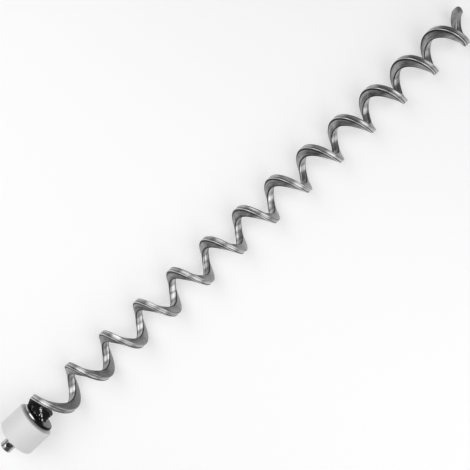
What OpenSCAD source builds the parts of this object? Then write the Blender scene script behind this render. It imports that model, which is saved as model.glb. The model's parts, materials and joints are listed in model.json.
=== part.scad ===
// Screw conveyor auger of the coreless kind: one steel bar wound into a helical
// flighting coil, welded at its first turn to a turned drive hub. A nylon
// bushing carries the hub in the conveyor tube, and the hub turns inside it.
//
// Frame: X is the axis of rotation, from the end face of the drive shaft at
// X = 0 towards the free end of the coil. The auger lies along X with +Z up.
// Angles round the axis are counted from +Y towards +Z. The coil is
// right-handed. All sizes are in millimetres and degrees.

/* [Flighting coil] */
// Outside diameter of the wound coil
flight_d = 38.1; // [30:0.1:39]
// Advance of the coil along the axis for each turn
pitch = 44.5; // [38:0.5:60]
// Number of turns from the hub to the free end
turns = 13.08; // [3:0.01:14]
// Depth of the bar, from the core of the coil to its outside
bar_depth = 9.6; // [6:0.1:10.5]
// Width of the bar along the axis at the outside of the coil
bar_tip_w = 5.8; // [4:0.1:7]
// Width of the bar along the axis at the core, swollen there by the winding
bar_root_w = 9.2; // [7:0.1:12]
// Shift of the bar's root towards the hub, which leans its rear face
root_lean = 1.4; // [0:0.1:2]
// Size of the worn bevel on the four edges of the bar
edge_bevel = 0.6; // [0.2:0.1:1]
// Length of the rounded nose at the free end of the bar
nose_l = 5; // [1:0.1:6]
// How far the nose draws in at its tip, from each flank of the bar
nose_flank = 1.6; // [0.5:0.1:2]
// How far the nose draws in at its tip, from the core and from the outside
nose_edge = 3; // [0.5:0.1:3.4]
// How much rounder the bar's four edges grow along the nose
nose_round = 1.8; // [0:0.1:2.5]
// Height of the bar's centreline above the thrust disc where the bar starts
start_lift = 2.2; // [0:0.1:4]

/* [Drive hub] */
// Diameter of the drive shaft, which the motor coupling slides over
shaft_d = 12.7; // [10:0.1:13.2]
// Length of the drive shaft, from its end face to the journal's shoulder
shaft_l = 12.9; // [12:0.1:30]
// Diameter of the journal that runs in the bushing
journal_d = 14.3; // [14:0.1:18]
// Diameter of the thrust disc
disc_d = 32.6; // [26:0.1:36]
// Thickness of the thrust disc
disc_t = 3; // [2:0.1:6]
// Length of the boss that stands inside the first turn of the coil
boss_l = 9.8; // [7:0.1:14]
// Radial gap between the boss and the core of the coil, filled by the weld
weld_gap = 1.85; // [1:0.05:2.5]
// Radius to which the weld fills the wedge between the disc and the bar at its start
weld_r = 17.4; // [12:0.1:17.8]
// Bevel on the edges of the shaft, the disc and the boss
hub_bevel = 0.5; // [0.2:0.1:0.7]
// Diameter of the cross hole for the shear bolt
bolt_hole_d = 4.6; // [3:0.1:6]
// Distance of the cross hole from the end face of the shaft
bolt_hole_x = 6.3; // [4:0.1:8]

/* [Bushing] */
// Outside diameter of the bushing, which seats in the conveyor tube
bushing_d = 40.2; // [39.6:0.1:50]
// Length of the bushing
bushing_l = 26; // [15:0.1:40]
// Rounding of the bushing's outer edges
bushing_edge_r = 1.5; // [0.5:0.1:3]
// Running clearance between the journal and the bore, on the radius
bore_clearance = 0.05; // [0.02:0.01:0.09]
// Bevel at both mouths of the bore
bore_bevel = 0.6; // [0.2:0.1:1]
// End play of the bushing, between its inner end and the thrust disc
thrust_gap = 1.5; // [0.1:0.1:2.5]
// How far the journal's shoulder stands out of the bushing
shoulder_stand = 0.5; // [0.1:0.1:2]

/* [Hidden] */

// Facets of the coil in one turn, and the turned parts' arc resolution
facets = 32;
step = 360 / facets;
step_x = pitch / facets;
round_fn = 96;

// Angle of the turned pieces' seam, which keeps it clear of the cross hole
seam_angle = 52.5;

// The stations along the axis
bushing_x0 = shaft_l + shoulder_stand;
bushing_x1 = bushing_x0 + bushing_l;
disc_x0 = bushing_x1 + thrust_gap;
disc_x1 = disc_x0 + disc_t;
boss_x1 = disc_x1 + boss_l;

// The radii of the coil and of the boss inside it
tip_r = flight_d / 2;
core_r = tip_r - bar_depth;
boss_r = core_r - weld_gap;
bore_r = journal_d / 2 + bore_clearance;

// A facet lies flat under the coil when the facets' edges are half a step off -Z
start_angle = -3.5 * step;
end_angle = start_angle + 360 * turns;

// The nose keeps a flat in its middle, however narrow or shallow the bar is
nose_in_x = min(nose_flank, 0.9 * (bar_tip_w / 2 - edge_bevel));
nose_in_r = min(nose_edge, 0.9 * (bar_depth / 2 - edge_bevel));

// The weld fills the wedge between the disc and the rising bar, and lies under
// part of the bar. It starts where the bar's root stands clear of the disc, and
// stops short of the boss's end, where only a fillet along the boss is left of it.
weld_under = 0.4 * bar_root_w;
weld_reach = 6;
weld_toe = 2.6;
weld_min = 0.3;
weld_margin = 0.3;
weld_seam = 0.12;
rear_lift = start_lift - bar_root_w / 2 - root_lean;
weld_first = max(0, ceil((weld_min - rear_lift) / step_x));
weld_last = floor((boss_l - hub_bevel - weld_margin - edge_bevel - rear_lift) / step_x);

// Place of the bar's centreline along the axis at a given angle
function bar_x(a) = disc_x1 + start_lift + (a - start_angle) / 360 * pitch;

// A point at a given place along the axis, radius and angle
function polar(x, r, a) = [x, r * cos(a), r * sin(a)];

// A value part of the way from one to another
function mix(from, to, part) = from + (to - from) * part;

// The bar's section as [x from the centreline, radius], with the four corners
// beveled, rear root corner first. It is drawn in for the nose, at the flanks by
// in_x and at the core and the outside by in_r.
function bar_section(in_x = 0, in_r = 0, c = edge_bevel) =
    let (
        tip = bar_tip_w / 2 - in_x,
        front = bar_root_w / 2 - root_lean - in_x,
        rear = -bar_root_w / 2 - root_lean + in_x,
        low = core_r + in_r,
        high = tip_r - in_r,
        front_lean = (tip - front) / (high - low),
        rear_lean = (-tip - rear) / (high - low)
    )
    [
        [rear + rear_lean * c, low + c],
        [rear + c, low],
        [front - c, low],
        [front + front_lean * c, low + c],
        [tip - front_lean * c, high - c],
        [tip - c, high],
        [c - tip, high],
        [-tip - rear_lean * c, high - c]
    ];

// One ring of the coil. The bar is ground flat where it lands on the disc.
function bar_ring(a, in_x = 0, in_r = 0, c = edge_bevel) =
    [for (p = bar_section(in_x, in_r, c)) polar(max(bar_x(a) + p[0], disc_x1), p[1], a)];

// One ring of the nose, from 0 where the nose begins to 90 at its tip. The edges
// grow rounder first, and then the section draws in along a quarter of an ellipse.
function nose_ring(t, turn) =
    let (
        in_x = nose_in_x * (1 - cos(t)),
        in_r = nose_in_r * (1 - cos(t)),
        half = min(bar_tip_w / 2 - in_x, bar_depth / 2 - in_r)
    )
    bar_ring(end_angle - turn * (1 - sin(t)), in_x, in_r,
             min(edge_bevel + nose_round * sin(t), 0.85 * half));

// One ring of the weld, from the boss up the bar's rear flank and down to the disc.
// Its foot lies just outside the boss, so that its flat facets clear the round.
// Over the weld's length it shrinks from the full wedge to a fillet on the boss.
function weld_ring(a) =
    let (
        done = (a - start_angle - weld_first * step) / ((weld_last - weld_first) * step),
        section = bar_section(),
        root = section[0],
        flank = section[7],
        rear = bar_x(a) - bar_root_w / 2 - root_lean,
        foot = boss_r / cos(step / 2),
        under = min(rear + weld_under, boss_x1 - hub_bevel),
        low = root[1] + edge_bevel,
        top = mix(max(low, min(weld_r, flank[1])), low, done),
        top_x = bar_x(a) + mix(root[0], flank[0], (top - root[1]) / (flank[1] - root[1])),
        reach = mix(weld_reach, weld_toe, done),
        brow = min(mix(foot, top, mix(0.75, 0.45, done)), disc_d / 2 - hub_bevel),
        points = [
            [under, foot],
            [under, core_r],
            [rear + edge_bevel, core_r],
            [bar_x(a) + root[0] - weld_seam, root[1]],
            [top_x - weld_seam, top],
            [top_x - reach, brow],
            [rear - reach, foot]
        ]
    )
    [for (p = points) polar(max(p[0], disc_x1), p[1], a)];

// A closed solid through a list of rings with equal numbers of points. Each
// four-cornered side is split along one diagonal, or along the other if crossed.
module skin(rings, crossed = false) {
    n = len(rings[0]);
    last = len(rings) - 1;
    sides = [
        for (i = [0 : last - 1], j = [0 : n - 1])
            let (a = i * n + j, b = i * n + (j + 1) % n)
                each crossed
                    ? [[a, b + n, b], [a, a + n, b + n]]
                    : [[b, a, a + n], [b, a + n, b + n]]
    ];
    first_cap = [for (j = [0 : n - 1]) j];
    last_cap = [for (j = [n - 1 : -1 : 0]) last * n + j];
    points = [for (ring = rings, p = ring) p];
    polyhedron(points = points, faces = concat(sides, [first_cap, last_cap]));
}

// The wound bar, from its landing on the disc to the rounded nose
module flighting_coil() {
    nose_turn = asin(nose_l / tip_r);
    body_end = end_angle - nose_turn;
    last_step = ceil((body_end - start_angle) / step) - 1;
    body_rings = [for (i = [0 : last_step]) bar_ring(start_angle + i * step)];
    nose_rings = [for (t = [0 : 15 : 90]) nose_ring(t, nose_turn)];
    color("silver")
        skin(concat(body_rings, nose_rings));
}

// The weld that joins the first turn to the disc and the boss. Its sides are split
// as the bar's are, so that the two meet without cutting into each other.
module hub_weld() {
    color("dimgray")
        skin([for (i = [weld_first : weld_last]) weld_ring(start_angle + i * step)], true);
}

// Turns a profile, drawn as [radius, place along the axis], round the X axis
module turned() {
    rotate([seam_angle, 0, 0])
        rotate([0, 90, 0])
            rotate_extrude($fn = round_fn)
                children();
}

// The turned hub: drive shaft, journal, thrust disc and boss in one piece
module drive_hub() {
    shaft_r = shaft_d / 2;
    journal_r = journal_d / 2;
    disc_r = disc_d / 2;
    b = hub_bevel;
    color("gray")
        difference() {
            turned()
                polygon([
                    [0, 0],
                    [shaft_r - b, 0],
                    [shaft_r, b],
                    [shaft_r, shaft_l],
                    [journal_r - b, shaft_l],
                    [journal_r, shaft_l + b],
                    [journal_r, disc_x0],
                    [disc_r - b, disc_x0],
                    [disc_r, disc_x0 + b],
                    [disc_r, disc_x1 - b],
                    [disc_r - b, disc_x1],
                    [boss_r, disc_x1],
                    [boss_r, boss_x1 - b],
                    [boss_r - b, boss_x1],
                    [0, boss_x1]
                ]);
            translate([bolt_hole_x, 0, 0])
                cylinder(h = 2 * shaft_d, d = bolt_hole_d, center = true, $fn = round_fn);
        }
}

// The moulded nylon bushing, with rounded outer edges and beveled bore mouths
module bearing_bushing() {
    r = bushing_d / 2;
    e = bushing_edge_r;
    c = bore_bevel;
    color("white")
        turned() {
            polygon([
                [bore_r, bushing_x0 + c],
                [bore_r + c, bushing_x0],
                [r - e, bushing_x0],
                [r - e, bushing_x1],
                [bore_r + c, bushing_x1],
                [bore_r, bushing_x1 - c]
            ]);
            translate([bore_r + c, bushing_x0 + e])
                square([r - bore_r - c, bushing_l - 2 * e]);
            for (x = [bushing_x0 + e, bushing_x1 - e])
                translate([r - e, x])
                    circle(r = e, $fn = round_fn);
        }
}

flighting_coil();
drive_hub();
hub_weld();
bearing_bushing();
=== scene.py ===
# %% [markdown]
# # A screw conveyor auger
#
# The object is the moving part of a small coreless screw conveyor: a steel bar
# wound into a long open coil, welded to a turned hub that runs in a white nylon
# bushing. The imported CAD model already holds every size. This lesson dresses it:
# each piece is made again as a finer mesh in the same place, and gets a finish
# built from shader nodes.

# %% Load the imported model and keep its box
import json
import math

import bmesh
import bpy
import numpy as np
from mathutils import Matrix, Vector, noise


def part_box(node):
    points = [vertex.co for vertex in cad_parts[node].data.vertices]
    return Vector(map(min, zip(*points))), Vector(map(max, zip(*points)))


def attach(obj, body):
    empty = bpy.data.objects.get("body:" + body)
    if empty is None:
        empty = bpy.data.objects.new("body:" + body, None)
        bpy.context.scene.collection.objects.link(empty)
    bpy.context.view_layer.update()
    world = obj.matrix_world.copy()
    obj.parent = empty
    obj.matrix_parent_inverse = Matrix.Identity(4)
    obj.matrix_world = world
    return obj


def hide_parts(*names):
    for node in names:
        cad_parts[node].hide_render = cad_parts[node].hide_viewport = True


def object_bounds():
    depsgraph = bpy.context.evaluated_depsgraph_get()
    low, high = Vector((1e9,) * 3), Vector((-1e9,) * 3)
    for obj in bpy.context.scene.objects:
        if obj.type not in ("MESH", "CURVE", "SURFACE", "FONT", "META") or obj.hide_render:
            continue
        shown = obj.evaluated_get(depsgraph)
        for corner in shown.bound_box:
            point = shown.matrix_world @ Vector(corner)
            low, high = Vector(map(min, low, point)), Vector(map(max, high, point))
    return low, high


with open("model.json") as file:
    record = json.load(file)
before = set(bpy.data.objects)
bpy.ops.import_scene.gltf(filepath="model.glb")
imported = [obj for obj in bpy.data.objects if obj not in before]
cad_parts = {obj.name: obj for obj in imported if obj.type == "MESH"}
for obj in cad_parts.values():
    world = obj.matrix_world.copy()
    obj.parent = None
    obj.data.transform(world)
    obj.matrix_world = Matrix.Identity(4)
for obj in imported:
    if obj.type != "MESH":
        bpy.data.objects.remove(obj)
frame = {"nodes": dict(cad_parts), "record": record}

MM = 0.001
HAIR = 0.001 * MM        # less than any real step on the object
CAD_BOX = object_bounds()
LENGTH = CAD_BOX[1].x - CAD_BOX[0].x
print("CAD box in mm:", [round(v / MM, 2) for corner in CAD_BOX for v in corner])

# %% [markdown]
# ## The camera
#
# The auger lies along X on a table, and the eye is straight above it, 650 mm up
# and a little nearer to the hub than to the free end. The camera could be
# aimed with a Track To constraint, but a fixed location and rotation is easier
# to read: it looks almost straight down, turned so that the auger runs from the
# lower left to the upper right. A small lens shift recentres the frame and
# leaves the perspective alone.

# %% Place the camera
LENS_MM, SENSOR_MM = 50.56, 36.0
LENS_SHIFT = (0.0364, 0.0154)
EYE = (0.3712 * LENGTH, 5.39 * MM, 647.4 * MM)
EYE_TURN_DEG = (2.957, -3.081, -42.85)


def make_camera():
    data = bpy.data.cameras.new("overhead_camera")
    data.lens = LENS_MM
    data.sensor_width = SENSOR_MM
    data.shift_x, data.shift_y = LENS_SHIFT
    camera = bpy.data.objects.new("overhead_camera", data)
    camera.location = EYE
    camera.rotation_euler = [math.radians(v) for v in EYE_TURN_DEG]
    bpy.context.scene.collection.objects.link(camera)
    bpy.context.scene.camera = camera
    print("camera height in mm:", round(camera.location.z / MM, 1))


make_camera()

# %% [markdown]
# ## Reading the winding off the CAD coil
#
# A coil is one section swept along a helix, so a few numbers describe all of it:
# the two radii, the advance per turn and where it starts and ends. They could be
# typed in again, but then the two models might drift apart. The outermost
# corners of the CAD coil lie on the helix itself, so they are read from there.

# %% Measure the coil
def coil_facts(mesh):
    points = np.array([v.co for v in mesh.vertices])
    radius = np.hypot(points[:, 1], points[:, 2])
    outer = points[radius > radius.max() - HAIR]
    angle = np.degrees(np.arctan2(outer[:, 2], outer[:, 1]))
    # Two outer corners cross each direction once a turn
    middle = len(outer) // 2
    here = np.abs(angle - angle[middle]) < 1.0
    stations = np.unique(np.round(outer[here, 0], 6))
    pitch = float(np.median(stations[2:] - stations[:-2]))
    pairs = [(a + b) / 2 for a, b in zip(stations, stations[1:]) if b - a < pitch / 2]
    start_x = pairs[len(pairs) // 2] - pitch * angle[middle] / 360
    # How far round the winding each corner lies, counted from +Y near the hub
    turned = np.round((outer[:, 0] - start_x) / pitch - angle / 360) * 360 + angle
    whole = 360 * round(turned.min() / 360)
    return (radius.max(), radius.min(), pitch, start_x + pitch * whole / 360,
            turned.min() - whole, turned.max() - whole)


TIP_R, CORE_R, PITCH, CENTRE_X, FIRST_DEG, LAST_DEG = map(float, coil_facts(
    frame["nodes"]["flighting_coil"].data))
print("radii in mm:", round(TIP_R / MM, 3), round(CORE_R / MM, 3),
      "pitch:", round(PITCH / MM, 3))
print("winding from", round(FIRST_DEG, 3), "to", round(LAST_DEG, 3), "degrees,",
      "centreline at +Y:", round(CENTRE_X / MM, 3))

# %% [markdown]
# ## The bar's four corners
#
# A square bar that is wound on its edge doesn't stay square: its outside is
# stretched and narrows, its inside is squeezed and swells, and its rear face
# leans. The two widths and the lean are given here in plain numbers, because
# the many corners of the CAD coil hide them. The radii are the ones just read.

# %% Give the bar's section
BAR_TIP_W = 5.8 * MM
BAR_ROOT_W = 9.2 * MM
ROOT_LEAN = 1.4 * MM
BAR_CORNERS = ((-BAR_ROOT_W / 2 - ROOT_LEAN, CORE_R), (BAR_ROOT_W / 2 - ROOT_LEAN, CORE_R),
               (BAR_TIP_W / 2, TIP_R), (-BAR_TIP_W / 2, TIP_R))
print("bar corners in mm:", [(round(x / MM, 2), round(r / MM, 2)) for x, r in BAR_CORNERS])

# %% [markdown]
# ## Reading the lathe profile off the CAD hub
#
# A turned piece is its outline spun round the axis. In the CAD mesh each corner
# of that outline has become a full ring of points, so stations and radii that
# many points share are the outline's corners. They are put in order by walking
# along the axis, and at a shoulder from the radius that was reached.

# %% Read the profile
def lathe_profile(mesh, least=20):
    points = np.unique(np.array([v.co for v in mesh.vertices]).round(6), axis=0)
    rings = np.stack([points[:, 0], np.hypot(points[:, 1], points[:, 2])], 1).round(5)
    corners, shared = np.unique(rings, axis=0, return_counts=True)
    profile, left = [], [tuple(map(float, c)) for c, n in zip(corners, shared) if n >= least]
    reached = 0.0
    while left:
        nearest = min(left, key=lambda c: (c[0], abs(c[1] - reached)))
        left.remove(nearest)
        profile.append(nearest)
        reached = nearest[1]
    return profile


HUB_PROFILE = lathe_profile(frame["nodes"]["drive_hub"].data)
DISC_R = max(r for x, r in HUB_PROFILE)
DISC_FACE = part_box("flighting_coil")[0].x
BOSS_END = HUB_PROFILE[-1][0]
BOSS_R = HUB_PROFILE[-2][1]
for x, r in HUB_PROFILE:
    print("hub corner at", round(x / MM, 2), "radius", round(r / MM, 2))

# %% [markdown]
# ## Shader maths in Python
#
# A finish is a small program of nodes. Wiring each one by hand hides the idea,
# so a thin class stands for one number that varies over the surface. Adding or
# multiplying two of them makes the Math node and its links.

# %% A value that does sums with nodes
class Value:
    def __init__(self, finish, socket):
        self.finish = finish
        self.socket = socket

    def math(self, operation, *others):
        inputs = dict(enumerate((self, *others)))
        return self.finish.node("Math", {"operation": operation}, inputs)

    def __add__(self, other):
        return self.math("ADD", other)

    def __mul__(self, other):
        return self.math("MULTIPLY", other)

    def __sub__(self, other):
        return self.math("SUBTRACT", other)

    def __truediv__(self, other):
        return self.math("DIVIDE", other)

    def __rsub__(self, other):
        return (self * -1.0) + other

    __radd__ = __add__
    __rmul__ = __mul__

    def step(self, low, high):
        """Rises smoothly from 0 at low to 1 at high, or falls if low is above high."""
        rising = low < high
        ends = {1: min(low, high), 2: max(low, high), 3: 0.0 if rising else 1.0,
                4: 1.0 if rising else 0.0}
        return self.finish.node("MapRange", {"interpolation_type": "SMOOTHSTEP"},
                                {0: self, **ends})


# %% [markdown]
# ## One maker of nodes
#
# Every node tree here starts the same way: the default nodes go, and the
# coordinates are fetched once, as X, Y, Z, the radius about the axis and the
# share of a turn round it. One method makes any node, and a few named patterns
# are built on it. A node group could hold them too, but a Python method is
# shorter and can be read from top to bottom.

# %% A material or a world that makes its own nodes
class Finish:
    def __init__(self, owner, coordinates="Object"):
        self.owner = owner
        owner.use_nodes = True
        self.tree = owner.node_tree
        self.tree.nodes.clear()
        self.place = self.node("TexCoord", output=coordinates)
        apart = self.node("SeparateXYZ", inputs={0: self.place}, output=None)
        self.x, self.y, self.z = (Value(self, socket) for socket in apart.outputs)
        self.radius = self.length(self.vector(0.0, self.y, self.z))
        self.turn = self.z.math("ARCTAN2", self.y) / math.tau

    def node(self, kind, settings=None, inputs=None, output=0):
        """Makes a node, its settings first, then the values or links of its sockets."""
        made = self.tree.nodes.new("ShaderNode" + kind)
        for name, value in (settings or {}).items():
            setattr(made, name, value)
        for name, value in (inputs or {}).items():
            if isinstance(value, Value):
                self.tree.links.new(value.socket, made.inputs[name])
            else:
                made.inputs[name].default_value = value
        return made if output is None else Value(self, made.outputs[output])

    def vector(self, x, y, z):
        return self.node("CombineXYZ", inputs={0: x, 1: y, 2: z})

    def length(self, vector):
        return self.node("VectorMath", {"operation": "LENGTH"}, {0: vector}, "Value")

    def near(self, a, b, to_a, to_b):
        """Distance from one point, measured in two directions only."""
        return self.length(self.vector(a - to_a, b - to_b, 0.0))

    def cloud(self, place, scale=1.0, detail=3.0, roughness=0.5):
        """Soft noise between about 0.2 and 0.8."""
        return self.node("TexNoise", inputs={"Vector": place, "Scale": scale, "Detail": detail,
                                             "Roughness": roughness}, output="Fac")

    def mix(self, factor, a, b):
        """Blends two colours, given as greys or as colour sockets."""
        a, b = ((v, v, v, 1.0) if isinstance(v, float) else v for v in (a, b))
        return self.node("Mix", {"data_type": "RGBA"}, {0: factor, 6: a, 7: b}, 2)

    def bump(self, height, distance):
        return self.node("Bump", inputs={"Height": height, "Distance": distance,
                                         "Strength": 1.0})

    def seen(self):
        """1 for the rays that show a surface or its reflection, 0 for those that only light."""
        rays = self.node("LightPath", output=None).outputs
        names = ("Is Camera Ray", "Is Glossy Ray", "Is Transmission Ray")
        return sum(Value(self, rays[name]) for name in names)

    def surface(self, **inputs):
        """The one shader of the material. Underscores stand for spaces in socket names."""
        named = {name.replace("_", " "): value for name, value in inputs.items()}
        shader = self.node("BsdfPrincipled", inputs=named)
        self.node("OutputMaterial", inputs={"Surface": shader}, output=None)
        return self.owner


# %% [markdown]
# ## The coil's finish
#
# The bar was drawn through a die and wound cold, so its marks run along the bar
# and follow the helix. Object coordinates are straight, so three of them are
# bent first: how far along the axis the bar's centreline stands, how far a point
# lies across the bar, and its radius. Noise stretched in those directions gives
# the drawing lines.
#
# The outside is rubbed bright by the tube, and the flanks keep the duller skin of
# the mill. A bright line along the rear outer edge is a painted highlight, and
# dark lines along the corners are painted shade, broken up by noise. The flanks
# by the hub are painted black, partly as weld scorch and partly as painted shade
# where the bar meets the disc, and the front flanks of the first turns are
# painted darker as shade. The free end was filed, so it is plain and matte.

# %% Where wear, scorch and painted light lie on the bar
ROOT_MM, TIP_MM = CORE_R / MM, TIP_R / MM
# Painted shade along the corners: place across the bar, radius and reach, all in mm
CORNER_SHADE_LINES = ((-6.0, ROOT_MM, 1.5), (3.2, ROOT_MM, 1.2), (2.9, TIP_MM, 0.5),
               (-3.3, TIP_MM - 1.5, 1.2), (-1.5, TIP_MM, 0.5))
# A bright line along the rear outer edge, a painted highlight
EDGE_HIGHLIGHT_X = 0.2 * MM - BAR_TIP_W / 2
EDGE_HIGHLIGHT_REACH = (0.7 * MM, 0.3 * MM)
# Flanks painted black near the hub: partly weld scorch, partly painted shade where the bar meets
# the disc
SCORCH_AND_SHADE_X = (BOSS_END + 12 * MM, BOSS_END + 3 * MM)
FILED_X = (CAD_BOX[1].x - 9 * MM, CAD_BOX[1].x - 5 * MM)
# The front flanks of the first turns are painted darker, as shade
FRONT_SHADE_X = (0.4 * LENGTH, 0.1 * LENGTH)
print("scorched up to", round(SCORCH_AND_SHADE_X[0] / MM, 1), "mm, filed from",
      round(FILED_X[0] / MM, 1), "mm")


def bar_directions(f):
    """How far a point lies across the bar, and where the bar's centreline stands."""
    offset = f.x - CENTRE_X - f.turn * PITCH
    across = f.node("Math", {"operation": "WRAP"}, {0: offset, 1: PITCH / 2, 2: -PITCH / 2})
    return across, f.x - across


# %% Drawn steel
# The darkest grey: painted shade along the corners, and scorch and shade by the hub
SHADE_AND_SCORCH_GREY = 0.03
EDGE_HIGHLIGHT_GREY = 0.6
FILED_GREYS = (0.3, 0.5)
OUTSIDE_GREYS = (0.16, 0.66)
REAR_GREYS = (0.1, 0.48)
FRONT_GREYS = (0.24, 0.42)
FRONT_SHADE_GREYS = (0.16, 0.24)


def drawn_steel():
    f = Finish(bpy.data.materials.new("drawn_steel"))
    across, along = bar_directions(f)

    def grain(lengthwise, crosswise, detail, roughness=0.5):
        stretched = f.vector(along * lengthwise, across * crosswise, f.radius * crosswise)
        return f.cloud(stretched, 1.0, detail, roughness)

    lines = grain(40.0, 1500.0, 3.0, 0.7) * 0.5 + grain(25.0, 520.0, 2.0) * 0.5
    waves = grain(260.0, 130.0, 2.0)
    blotch = f.cloud(f.place, 120.0, 4.0, 0.65)
    outside = f.radius.step(TIP_R - 0.9 * MM, TIP_R - 0.3 * MM)
    inside = f.radius.step(CORE_R + 0.7 * MM, CORE_R + 0.2 * MM)
    flank = 1.0 - outside - inside
    # Dark lines of painted shade along the corners, broken up by noise
    corner_shade = sum(f.near(across, f.radius, x * MM, r * MM).step(reach * MM, reach / 2 * MM)
                for x, r, reach in CORNER_SHADE_LINES) * blotch.step(0.2, 0.45)
    # A painted highlight along the rear outer edge
    edge_highlight = f.near(across, f.radius, EDGE_HIGHLIGHT_X, TIP_R).step(*EDGE_HIGHLIGHT_REACH)
    filed = along.step(*FILED_X)
    # Black flanks by the hub: partly scorch, partly painted shade
    scorch_and_shade = along.step(*SCORCH_AND_SHADE_X) * flank * blotch.step(0.2, 0.4)
    # Painted shade on the front flanks near the hub
    front_hub_shade = along.step(*FRONT_SHADE_X)

    bright = f.mix(lines.step(0.36, 0.64), *OUTSIDE_GREYS)
    rear = f.mix((lines * 0.7 + blotch * 0.3).step(0.38, 0.62), *REAR_GREYS)
    front = f.mix((lines * 0.3 + blotch * 0.7).step(0.3, 0.7),
                  *(f.mix(front_hub_shade, *greys) for greys in zip(FRONT_GREYS, FRONT_SHADE_GREYS)))
    skin = f.mix(flank, bright, f.mix(across.step(-1.0 * MM, 1.0 * MM), rear, front))
    skin_and_painted_edges = f.mix(edge_highlight, f.mix(corner_shade, skin, SHADE_AND_SCORCH_GREY), EDGE_HIGHLIGHT_GREY)
    colour = f.mix(filed, f.mix(scorch_and_shade, skin_and_painted_edges, SHADE_AND_SCORCH_GREY),
                   f.mix(blotch.step(0.3, 0.7), *FILED_GREYS))
    rough = 0.2 + lines * 0.2 + waves * 0.1 + flank * 0.04 + filed * 0.25
    height = lines * 0.5 + waves * 2.0 + blotch * 0.6
    return f.surface(Base_Color=colour, Metallic=1.0 - corner_shade * 0.8 - scorch_and_shade * 0.5,
                     Roughness=rough, Specular_IOR_Level=0.2,
                     Normal=f.bump(height, 0.07 * MM))


# %% [markdown]
# ## Lathe-turned steel
#
# The hub came off a lathe, so its marks are rings: they repeat along the axis on
# the cylinders and along the radius on the faces. Noise that changes fast along
# both and slowly round the axis gives them in one go.
#
# Welding blackened one end, and painted shade adds to it. The boss and the face
# of the disc are painted black, most on the side of the bead: partly soot and
# partly painted shade in the pocket between the disc, the boss and the bar. One
# side of the rim is painted dark as a reflection, dark lines round the disc's
# corners are painted shade, and the inside of the cross hole is painted dark as
# shade. These are masks that add up to one value, and it drives colour, metal and
# roughness together, so that black places are also dull.

# %% Painted shade and soot on the hub
BOLT = next(m for m in frame["record"]["mounts"] if m["kind"] == "bore")
BOLT_X = BOLT["pos_m"][0]
BOLT_R = BOLT["dims"]["r_mm"] * MM
SHADE_AND_SOOT_SIDE = math.radians(50)
print("shear bolt hole at", round(BOLT_X / MM, 2), "mm, radius", round(BOLT_R / MM, 2))


def shade_and_soot_on_hub(f, blotch):
    # Black on the boss and the disc face: partly weld soot, partly painted shade in the pocket
    toward = (f.y * math.cos(SHADE_AND_SOOT_SIDE) + f.z * math.sin(SHADE_AND_SOOT_SIDE)) / f.radius + blotch * 0.2
    boss_shade_and_soot = f.radius.step(BOSS_R * 1.12, BOSS_R * 1.04) * blotch.step(0.66, 0.56)
    shade_and_soot = f.x.step(DISC_FACE - 0.4 * MM, DISC_FACE) * (toward.step(0.25, 0.45) + boss_shade_and_soot + 0.55)
    # One side of the rim is painted dark, a painted reflection
    dark_side_slope = (f.z - f.y) / f.radius * 0.7 + blotch * 0.4
    rim_dark_side = f.radius.step(DISC_R * 0.95, DISC_R * 0.97) * dark_side_slope.step(0.75, 0.95)
    # Dark lines of painted shade round the disc's corners
    rims = sum(f.near(f.x, f.radius, x, r).step(0.5 * MM, 0.2 * MM)
               for x, r in HUB_PROFILE if r > BOSS_R * 1.5)
    # The inside of the cross hole is painted dark, as shade
    hole = f.near(f.x, f.y, BOLT_X, 0.0).step(BOLT_R + 0.12 * MM, BOLT_R + 0.02 * MM)
    return (shade_and_soot + rim_dark_side + rims * 0.8 + hole).math("MINIMUM", 1.0)


# %% Turned steel
SHADE_AND_SOOT_GREY = 0.007
TURNED_GREYS = (0.36, 0.68)


def turned_steel():
    f = Finish(bpy.data.materials.new("turned_steel"))
    rings = f.cloud(f.vector(f.x * 3500.0, f.radius * 3500.0, f.turn * 3.0), 1.0, 2.0, 0.6)
    blotch = f.cloud(f.place, 180.0, 4.0, 0.6)
    dark = shade_and_soot_on_hub(f, blotch)
    clean = f.mix(rings.step(0.3, 0.7), *TURNED_GREYS)
    return f.surface(Base_Color=f.mix(dark, clean, SHADE_AND_SOOT_GREY), Metallic=1.0 - dark,
                     Roughness=0.1 + rings * 0.1 + blotch * 0.06 + dark * 0.3,
                     Specular_IOR_Level=0.1, Normal=f.bump(rings + blotch * 0.5, 0.02 * MM))


# %% [markdown]
# ## The weld and the nylon
#
# The bead is left as welded: near-black, partly dark scale and partly painted
# shade between the disc and the bar, over lumpy metal, which shows through in
# small bright patches. More patches lie along its toe, put there as painted
# glints. Noise with a narrow step picks the patches. The bushing is milky nylon.
# Its soft look comes from light that enters and leaves again, so the shader's
# subsurface does the work, and only a trace of turning marks is left in its bump.

# %% Weld metal
TOE_START_DEG, TOE_END_DEG = 60.0, 142.0
TOE_START_X = BOSS_END - 1.2 * MM
TOE_SLOPE = (DISC_FACE - TOE_START_X) / (TOE_END_DEG - TOE_START_DEG)
BARE_GREY = 0.6
print("the toe falls", round(-TOE_SLOPE / MM * 10, 2), "mm in 10 degrees")


def weld_metal():
    f = Finish(bpy.data.materials.new("weld_metal"))
    grain = f.cloud(f.place, 900.0, 4.0, 0.65)
    lumps = f.cloud(f.place, 420.0, 2.0)
    toe = f.x - (TOE_START_X + (f.turn * 360.0 - TOE_START_DEG) * TOE_SLOPE)
    # More bare metal along the toe, put there as painted glints
    toe_glints = toe.step(-2.4 * MM, -0.8 * MM)
    bare = (lumps * 0.6 + grain * 0.4 + toe_glints * 0.15).step(0.56, 0.64)
    # The dark colour is partly scale and partly painted shade
    return f.surface(Base_Color=f.mix(bare, SHADE_AND_SOOT_GREY, BARE_GREY), Metallic=bare,
                     Roughness=0.45 - bare * 0.2, Specular_IOR_Level=0.1,
                     Normal=f.bump(lumps + grain * 0.6, 0.18 * MM))


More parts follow.
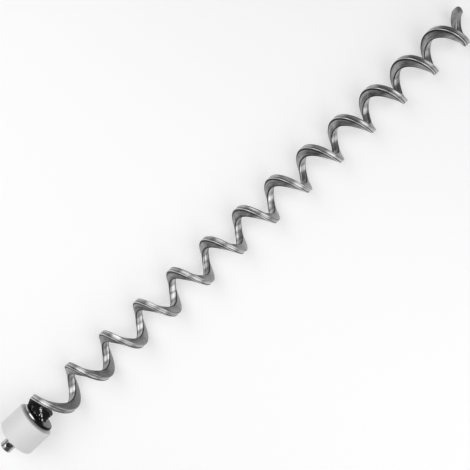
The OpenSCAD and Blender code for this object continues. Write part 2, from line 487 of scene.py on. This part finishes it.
# %% Nylon
NYLON_GREYS = (0.86, 0.9)


def nylon():
    f = Finish(bpy.data.materials.new("white_nylon"))
    rings = f.cloud(f.vector(f.x * 2200.0, f.radius * 2200.0, f.turn * 2.0), 1.0, 2.0)
    haze = f.cloud(f.place, 70.0)
    return f.surface(Base_Color=f.mix(haze, *NYLON_GREYS), Roughness=0.36 + haze * 0.1,
                     Subsurface_Weight=0.25, Subsurface_Radius=(1.0, 1.0, 1.0),
                     Subsurface_Scale=1.5 * MM, Normal=f.bump(rings, 0.01 * MM))


# %% [markdown]
# ## From bmesh to a piece
#
# Every piece ends the same way: its normals are made to point outwards, edges
# sharper than a set angle are marked so that the rest shades smoothly, it is told
# which body it moves with, and the CAD solid it stands for is hidden. The object
# stays at the origin, because the place is already in its mesh.

# %% Finish a piece
def to_object(name, bm):
    mesh = bpy.data.meshes.new(name)
    bm.to_mesh(mesh)
    bm.free()
    obj = bpy.data.objects.new(name, mesh)
    bpy.context.scene.collection.objects.link(obj)
    return obj


def piece(name, bm, body, node, material, sharp_deg=35.0):
    bmesh.ops.recalc_face_normals(bm, faces=bm.faces)
    for face in bm.faces:
        face.smooth = True
    for edge in bm.edges:
        edge.smooth = edge.calc_face_angle(0.0) < math.radians(sharp_deg)
    obj = to_object(name, bm)
    obj.data.materials.append(material)
    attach(obj, body)
    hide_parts(node)
    obj.data.calc_loop_triangles()
    print(name, "has", len(obj.data.loop_triangles), "triangles")


def around(vert):
    """The angle in degrees and the radius of a point about the X axis."""
    return math.degrees(math.atan2(vert.co.z, vert.co.y)), math.hypot(vert.co.y, vert.co.z)


def upright(edge):
    """Whether both ends of an edge stand at one place along the axis."""
    return abs(edge.verts[0].co.x - edge.verts[1].co.x) < HAIR


# %% [markdown]
# ## Drawing the section
#
# The section is drawn as four corners in the XY plane, along the axis and along
# the radius. It could be a curve with a bevel object, but a bmesh face can be
# shaped with operators before it is wound. A vertex bevel rounds the corners, and
# a few cuts along each side let the outside sink into a shallow dish and the
# inside crown, as wound bar does.

# %% Draw the section
CORNER_R = 0.75 * MM
CORNER_STEPS = 4
SIDE_CUTS = 6
DISH = 0.16 * MM


def bar_section(bm):
    root, tip = BAR_ROOT_W / 2, BAR_TIP_W / 2
    verts = [bm.verts.new((x, r, 0)) for x, r in BAR_CORNERS]
    bm.faces.new(verts)
    bmesh.ops.bevel(bm, geom=verts, offset=CORNER_R, segments=CORNER_STEPS, profile=0.5,
                    affect="VERTICES", material=-1)
    sides = [edge for edge in bm.edges if edge.calc_length() > 2 * CORNER_R]
    bmesh.ops.subdivide_edges(bm, edges=sides, cuts=SIDE_CUTS)
    for vert in bm.verts:
        x, r = vert.co.x, vert.co.y
        if r > TIP_R - 10 * HAIR:
            vert.co.y -= DISH * max(0, 1 - (x / (tip - CORNER_R)) ** 2)
        elif r < CORE_R + 10 * HAIR:
            vert.co.y -= DISH * max(0, 1 - ((x + ROOT_LEAN) / (root - CORNER_R)) ** 2)
    print("section has", len(bm.verts), "points")
    return bm.faces[:] + bm.edges[:] + bm.verts[:]


# %% [markdown]
# ## The free end
#
# The bar was cut off and its end rounded over, like the tip of a thumb. A bevel
# can't make that from a flat cut. The end face is extruded on along the helix in
# small steps instead, and each new ring of points is drawn in and made rounder.
# Extruding a lone face leaves the old one behind as a wall inside the bar, so it
# is removed at each step.

# %% Round the nose
NOSE_L = 5.0 * MM
NOSE_IN_X = 1.6 * MM
NOSE_IN_R = 3.0 * MM
NOSE_STEPS = 12
NOSE_ROUND = 0.8
HALF_W, HALF_D = BAR_ROOT_W / 2, (TIP_R - CORE_R) / 2
MIDDLE_R = (TIP_R + CORE_R) / 2


def screw(angle_deg):
    """The matrix that carries the section to a place on the helix."""
    x = CENTRE_X + PITCH * angle_deg / 360
    return Matrix.Translation((x, 0, 0)) @ Matrix.Rotation(math.radians(angle_deg), 4, "X")


def thumb(u, w, t):
    """Rounds a point of the section, given as shares of its half sizes, and draws it in."""
    square = max(abs(u), abs(w), 0.001)
    rounder = 1 + NOSE_ROUND * math.sin(t) * (square / math.hypot(u, w) - 1)
    return (u * rounder * (1 - NOSE_IN_X / HALF_W * (1 - math.cos(t))),
            w * rounder * (1 - NOSE_IN_R / HALF_D * (1 - math.cos(t))))


def round_nose(bm, face):
    """Extrudes the end of the bar on along the helix, rounder and smaller at each step."""
    reach = math.degrees(math.asin(NOSE_L / TIP_R))
    home = screw(LAST_DEG).inverted()
    base = []
    for vert in face.verts:
        flat = home @ vert.co
        w = (flat.y - MIDDLE_R) / HALF_D
        wide = (BAR_ROOT_W * (1 - w) + BAR_TIP_W * (1 + w)) / 4
        lean = ROOT_LEAN * (1 - w) / 2
        base.append(((flat.x + lean) / wide, w, wide / HALF_W, lean))
    for i in range(1, NOSE_STEPS + 1):
        t = math.pi / 2 * i / NOSE_STEPS
        grown = bmesh.ops.extrude_face_region(bm, geom=[face])["geom"]
        bm.faces.remove(face)
        face = next(g for g in grown if isinstance(g, bmesh.types.BMFace))
        place = screw(LAST_DEG + reach * math.sin(t))
        for vert, (u, w, share, lean) in zip(face.verts, base):
            new_u, new_w = thumb(u, w, t)
            vert.co = place @ Vector((new_u * share * HALF_W - lean,
                                      MIDDLE_R + new_w * HALF_D, 0))


# %% [markdown]
# ## Winding the bar
#
# Spin with a `dvec` is a screw: each of its steps turns the section a little and
# shifts it along the axis. A spin looks at every face it has made so far, so a
# long one is slow: one thirteenth of the winding is spun, and copies of it are
# screwed on behind one another. A plane cuts the first turn flat where it lands
# on the disc, and a little noise keeps the turns from being too perfect. Vector
# noise starts from the clock unless it is given a seed, and a seed makes every
# run wind the same coil.

# %% Wind the coil
STEPS_PER_TURN = 96
SHARES = 13
SEAM = 0.005 * MM
WOBBLE = 0.07 * MM
WOBBLE_SCALE = 90
WOBBLE_SEED = 3


def wind_share(bm, share_deg):
    """One share of the winding, open at both ends."""
    section = bar_section(bm)
    bmesh.ops.transform(bm, matrix=screw(FIRST_DEG), verts=bm.verts)
    steps = round(share_deg / 360 * STEPS_PER_TURN)
    wound = bmesh.ops.spin(bm, geom=section, axis=(1, 0, 0), angle=math.radians(share_deg),
                           dvec=(PITCH * share_deg / 360 / steps, 0, 0), steps=steps)
    caps = [g for g in section + wound["geom_last"] if isinstance(g, bmesh.types.BMFace)]
    bmesh.ops.delete(bm, geom=caps, context="FACES_ONLY")


def wind_coil():
    bm = bmesh.new()
    share_deg = (LAST_DEG - FIRST_DEG) / SHARES
    wind_share(bm, share_deg)
    share = bm.faces[:] + bm.edges[:] + bm.verts[:]
    for i in range(1, SHARES):
        copy = bmesh.ops.duplicate(bm, geom=share)["geom"]
        bmesh.ops.transform(bm, matrix=screw(share_deg * i) @ screw(0).inverted(),
                            verts=[g for g in copy if isinstance(g, bmesh.types.BMVert)])
    bmesh.ops.remove_doubles(bm, verts=bm.verts, dist=SEAM)
    rims = [edge for edge in bm.edges if edge.is_boundary]
    caps = bmesh.ops.holes_fill(bm, edges=rims)["faces"]
    round_nose(bm, max(caps, key=lambda face: face.calc_center_median().x))
    cut = bmesh.ops.bisect_plane(bm, geom=bm.faces[:] + bm.edges[:] + bm.verts[:],
                                 plane_co=(DISC_FACE, 0, 0), plane_no=(1, 0, 0),
                                 clear_inner=True)
    rim = [g for g in cut["geom_cut"] if isinstance(g, bmesh.types.BMEdge)]
    bmesh.ops.holes_fill(bm, edges=rim)
    noise.seed_set(WOBBLE_SEED)
    for vert in bm.verts:
        vert.co += noise.noise_vector(vert.co * WOBBLE_SCALE) * WOBBLE
        vert.co.x = min(max(vert.co.x, DISC_FACE), CAD_BOX[1].x)
    print("coil is closed:", all(edge.is_manifold for edge in bm.edges))
    return bm


piece("coil_flighting", wind_coil(), "auger", "flighting_coil", drawn_steel())

# %% [markdown]
# ## Turned shapes
#
# The hub and the bushing both came off a lathe, and Spin does the same: it takes
# an outline round the axis. A narrow bevel on the rings stands for the corners
# that the tool leaves: without it no edge would catch the light. Only rings whose
# faces meet at an angle get one.

# %% Spin a turned shape
LATHE_STEPS = 144


def spin_profile(profile, closed):
    bm = bmesh.new()
    verts = [bm.verts.new((x, r, 0)) for x, r in profile]
    for a, b in zip(verts, verts[1:] + verts[:1] if closed else verts[1:]):
        bm.edges.new((a, b))
    bmesh.ops.spin(bm, geom=bm.verts[:] + bm.edges[:], axis=(1, 0, 0), angle=math.tau,
                   steps=LATHE_STEPS, use_merge=True)
    bmesh.ops.remove_doubles(bm, verts=bm.verts, dist=HAIR)
    bmesh.ops.recalc_face_normals(bm, faces=bm.faces)
    return bm


def soften_rings(bm, width, over_deg=20.0):
    sharp = [edge for edge in bm.edges if edge.is_manifold and upright(edge)
             and edge.calc_face_angle(0.0) > math.radians(over_deg)]
    bmesh.ops.bevel(bm, geom=sharp, offset=width, segments=3, profile=0.5,
                    affect="EDGES", material=-1)


# %% [markdown]
# ## The hub
#
# The outline is joined to the axis at both ends and spun through a full turn.
# The cross hole for the shear bolt is a Boolean cut, because drilling is what
# made it, and the drill's countersink is part of the cutter.

# %% Drill the bolt hole
COUNTERSINK = 0.45 * MM
COUNTERSINK_SLOPE = 1.4


def bolt_drill():
    """A long pin along X with a flare at each place where it leaves the shaft."""
    reach = BOLT["dims"]["length_mm"] * MM / 2
    half = [(reach - COUNTERSINK, BOLT_R),
            (reach + COUNTERSINK, BOLT_R + COUNTERSINK_SLOPE * COUNTERSINK)]
    bm = spin_profile([(-x, s) for x, s in half[::-1]] + half, False)
    bmesh.ops.holes_fill(bm, edges=[edge for edge in bm.edges if edge.is_boundary])
    stand = Matrix.Translation(BOLT["pos_m"]) @ Matrix.Rotation(math.pi / 2, 4, "Y")
    bmesh.ops.transform(bm, matrix=stand, verts=bm.verts)
    bmesh.ops.recalc_face_normals(bm, faces=bm.faces)
    return bm


def drilled(bm, drill):
    """The first shape with the second cut out of it."""
    blank, tool = to_object("blank", bm), to_object("drill", drill)
    cut = blank.modifiers.new("cut", "BOOLEAN")
    cut.object = tool
    cut.solver = "EXACT"
    result = bmesh.new()
    result.from_object(blank, bpy.context.evaluated_depsgraph_get())
    for obj in (blank, tool):
        bpy.data.objects.remove(obj)
    return result


# %% Make the hub
HUB_EDGE = 0.12 * MM


def turn_hub():
    ends = [(HUB_PROFILE[0][0], 0.0)] + HUB_PROFILE + [(BOSS_END, 0.0)]
    bm = spin_profile(ends, False)
    soften_rings(bm, HUB_EDGE)
    return drilled(bm, bolt_drill())


piece("turned_hub", turn_hub(), "auger", "drive_hub", turned_steel(), 28.0)

# %% [markdown]
# ## The bushing
#
# The nylon ring is turned from bar too. Its outline goes round the wall and is
# closed, and wide bevels with many segments give the soft outer edges. The bore
# is read from the CAD ring, and the rounding is what its flat seat leaves over.

# %% Make the bushing
SEAT = next(m for m in frame["record"]["mounts"] if m["name"] == "tube_seat")
BORE_MOUTH = 0.6 * MM


def turn_bushing():
    low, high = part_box("bearing_bushing")
    outer = SEAT["dims"]["r_mm"] * MM
    rounding = (high.x - low.x - SEAT["dims"]["length_mm"] * MM) / 2
    bore = min(around(v)[1] for v in frame["nodes"]["bearing_bushing"].data.vertices)
    wall = [(low.x + BORE_MOUTH, bore), (low.x, bore + BORE_MOUTH), (low.x, outer),
            (high.x, outer), (high.x, bore + BORE_MOUTH), (high.x - BORE_MOUTH, bore)]
    bm = spin_profile(wall, True)
    rims = [edge for edge in bm.edges if upright(edge)
            and all(around(vert)[1] > outer - 10 * HAIR for vert in edge.verts)]
    bmesh.ops.bevel(bm, geom=rims, offset=rounding, segments=8, profile=0.5,
                    affect="EDGES", material=-1)
    print("bushing bore radius in mm:", round(bore / MM, 3), "rounding:", round(rounding / MM, 2))
    return bm


piece("nylon_bushing", turn_bushing(), "bushing", "bearing_bushing", nylon(), 28.0)

# %% [markdown]
# ## The weld
#
# Weld metal fills the wedge between the disc and the bar, and its edge then runs
# down the boss until it meets the disc. The wedge opens as the bar rises, so a
# plain spin doesn't fit it. Every point of the weld is therefore given by its
# angle and by two shares, of the gap and of the height, and one function says
# where such a point stands on the real piece.

# %% Where the weld runs
# Angle in degrees, then the height at the disc and at the bar in mm
WELD_RUN = ((-36, 15.4, 17.6), (-22, 16.0, 18.5), (12, 16.0, 18.5), (34, 13.4, 15.5),
            (TOE_START_DEG, 10.4, 9.4), (100, 9.2, 8.6), (TOE_END_DEG, 7.7, 7.7))
WELD_SINK = 0.3 * MM
TOE_LEAD_DEG = 20
TOE_FADE_DEG = 30


def rear_flank(angle_deg, radius):
    """Where the rear face of the bar stands along the axis."""
    (root_x, root_r), (tip_x, tip_r) = BAR_CORNERS[0], BAR_CORNERS[3]
    lean = (radius - root_r) / (tip_r - root_r)
    return CENTRE_X + PITCH * angle_deg / 360 + root_x + (tip_x - root_x) * lean


def weld_place(angle_deg, across, up):
    """A point of the weld, given as its shares of the gap and of the height."""
    stations, at_disc, at_bar = zip(*WELD_RUN)
    low = float(np.interp(angle_deg, stations, at_disc)) * MM
    high = float(np.interp(angle_deg, stations, at_bar)) * MM
    past = min(1, max(0, (angle_deg - TOE_START_DEG + TOE_LEAD_DEG) / TOE_FADE_DEG))
    crown = 1 - past * (1 - math.sqrt(max(0, 1 - across ** 4)))
    foot = BOSS_R - WELD_SINK
    radius = foot + up * crown * (low + (high - low) * across - foot)
    edge = TOE_START_X + (angle_deg - TOE_START_DEG) * TOE_SLOPE
    flank = rear_flank(angle_deg, radius) + WELD_SINK
    front = max(DISC_FACE, flank + past * (min(flank, edge) - flank))
    x = DISC_FACE - WELD_SINK + across * (front - DISC_FACE + WELD_SINK)
    turn = math.radians(angle_deg)
    return Vector((x, radius * math.cos(turn), radius * math.sin(turn)))


# %% [markdown]
# ## Laying the bead
#
# A flat square is spun straight, one unit wide and one unit high, and then each
# point is slid to its place. That keeps the mesh an even grid, which a shape
# drawn point by point wouldn't have. Ripples and noise push the points in and
# out along their normals, as no two beads are alike.

# %% Lay the weld
WELD_CUTS = 11
WELD_STEPS = 120
WELD_SEAM = 0.02 * MM
RIPPLE_DEG = 9.0
ROUGHNESS = 0.35 * MM


def rippled(vert):
    angle, radius = around(vert)
    ripple = math.cos(math.tau * (angle / RIPPLE_DEG + radius * 90))
    lumps = noise.noise(vert.co * 330) + 0.5 * noise.noise(vert.co * 900)
    return ROUGHNESS * (0.35 * ripple + 0.9 * lumps)


def lay_weld():
    bm = bmesh.new()
    verts = [bm.verts.new((across, 1 + up, 0)) for across, up in ((0, 0), (1, 0), (1, 1), (0, 1))]
    bm.faces.new(verts)
    bmesh.ops.subdivide_edges(bm, edges=bm.edges[:], cuts=WELD_CUTS)
    first, last = WELD_RUN[0][0], WELD_RUN[-1][0]
    bmesh.ops.rotate(bm, verts=bm.verts, matrix=Matrix.Rotation(math.radians(first), 3, "X"))
    bmesh.ops.spin(bm, geom=bm.faces[:] + bm.edges[:] + bm.verts[:], axis=(1, 0, 0),
                   angle=math.radians(last - first), steps=WELD_STEPS)
    for vert in bm.verts:
        angle, radius = around(vert)
        vert.co = weld_place(angle, vert.co.x, radius - 1)
    bmesh.ops.remove_doubles(bm, verts=bm.verts, dist=WELD_SEAM)
    bmesh.ops.recalc_face_normals(bm, faces=bm.faces)
    bm.normal_update()
    moves = [(vert, vert.normal * rippled(vert)) for vert in bm.verts]
    for vert, move in moves:
        vert.co += move
        vert.co.x = max(vert.co.x, DISC_FACE - WELD_SINK)
    print("weld is closed:", all(edge.is_manifold for edge in bm.edges))
    return bm


piece("weld_bead", lay_weld(), "auger", "hub_weld", weld_metal(), 180.0)

# %% [markdown]
# ## The floor
#
# A plain white floor needs so much light to render white that the object would
# burn out. So the floor is a pale grey that gives a little light of its own, but
# only to the rays that show it, directly or in a reflection. The object isn't
# brightened by it, and the floor still keeps a soft shadow. Far away it gives a
# little more, so that it stays pale in a low side view.

# %% Make the floor
FLOOR_GREY = 0.78
FLOOR_LIFT = 0.34
FAR_LIFT = 0.3
FAR_FROM, FAR_TO = 0.9, 2.2
FLOOR_HALF = 4.0
FLOOR_MIDDLE_X = 0.3
FLOOR_DROP = 0.2 * MM
WHITE = (1.0, 1.0, 1.0, 1.0)


def white_floor():
    f = Finish(bpy.data.materials.new("white_floor"))
    lift = f.seen() * (FLOOR_LIFT + f.length(f.place).step(FAR_FROM, FAR_TO) * FAR_LIFT)
    paint = f.node("BsdfDiffuse", inputs={"Color": (FLOOR_GREY, FLOOR_GREY, FLOOR_GREY, 1.0)})
    glow = f.node("Emission", inputs={"Color": WHITE, "Strength": lift})
    both = f.node("AddShader", inputs={0: paint, 1: glow})
    f.node("OutputMaterial", inputs={"Surface": both}, output=None)
    return f.owner


def make_floor():
    bm = bmesh.new()
    bmesh.ops.create_grid(bm, x_segments=1, y_segments=1, size=FLOOR_HALF)
    bmesh.ops.translate(bm, verts=bm.verts, vec=(FLOOR_MIDDLE_X, 0, CAD_BOX[0].z - FLOOR_DROP))
    floor = to_object("floor", bm)
    floor.data.materials.append(white_floor())
    print("floor at", round((CAD_BOX[0].z - FLOOR_DROP) / MM, 2), "mm")


make_floor()

# %% [markdown]
# ## The lamps
#
# Metal has almost no colour of its own: what it shows is the room. Two large
# soft lamps hang over the auger, tilted to opposite sides, one over the hub and
# one over the far part of the coil. Small hard lamps would give thin sparks.
# These are about a metre across, so each turn carries one broad band of light.

# %% Hang the lamps
LAMP_DISTANCE = 0.97
# Name, place on the axis that it faces, tilt towards +Y, size and radiance
LAMPS = (("hub_lamp", -0.03, 33.0, (0.85, 1.0), 2.1),
         ("coil_lamp", 0.76 * CAD_BOX[1].x, -38.0, (1.08, 1.0), 1.7))


def softbox(name, over_x, tilt_deg, size, radiance):
    data = bpy.data.lights.new(name, "AREA")
    data.shape = "RECTANGLE"
    data.size, data.size_y = size
    data.energy = radiance * math.pi * size[0] * size[1]
    aim = Vector((over_x, 0, 0))
    tilt = math.radians(tilt_deg)
    lamp = bpy.data.objects.new(name, data)
    lamp.location = aim + Vector((0, math.sin(tilt), math.cos(tilt))) * LAMP_DISTANCE
    lamp.rotation_euler = (aim - lamp.location).to_track_quat("-Z", "Y").to_euler()
    bpy.context.scene.collection.objects.link(lamp)
    print(name, "gives", round(data.energy, 2), "W")


for lamp_facts in LAMPS:
    softbox(*lamp_facts)

# %% [markdown]
# ## The room
#
# The world is pale at the horizon, brighter behind each lamp and dim overhead.
# The dim part is what draws dark bands on the bar: an even white sky would make
# the steel look like plaster. A thin pale haze at the horizon joins the floor to
# the sky. It is there only for the rays that show it, so it lights nothing.

# %% Paint the room
HORIZON, LEAST_HORIZON = 0.285, 0.08
BEHIND_LAMPS = 0.3
ZENITH, ZENITH_FROM = 0.12, 0.65
HAZE, HAZE_TOP = 0.3, 0.2


def paint_world():
    world = bpy.data.worlds.new("studio")
    f = Finish(world, "Generated")
    horizon = (HORIZON - f.x * f.y * BEHIND_LAMPS).math("MAXIMUM", LEAST_HORIZON)
    height = f.z.step(0.0, ZENITH_FROM)
    strength = (horizon * (1.0 - height) + height * ZENITH
                + f.z.step(HAZE_TOP, 0.0) * f.seen() * HAZE)
    room = f.node("Background", inputs={"Color": WHITE, "Strength": strength})
    f.node("OutputWorld", inputs={"Surface": room}, output=None)
    bpy.context.scene.world = world
    print("horizon", HORIZON, "zenith", ZENITH)


paint_world()

# %% [markdown]
# ## Last settings
#
# Standard shows each colour as it was written.

# %% Set the view transform and finish
bpy.context.scene.view_settings.view_transform = "Standard"
bpy.context.view_layer.update()
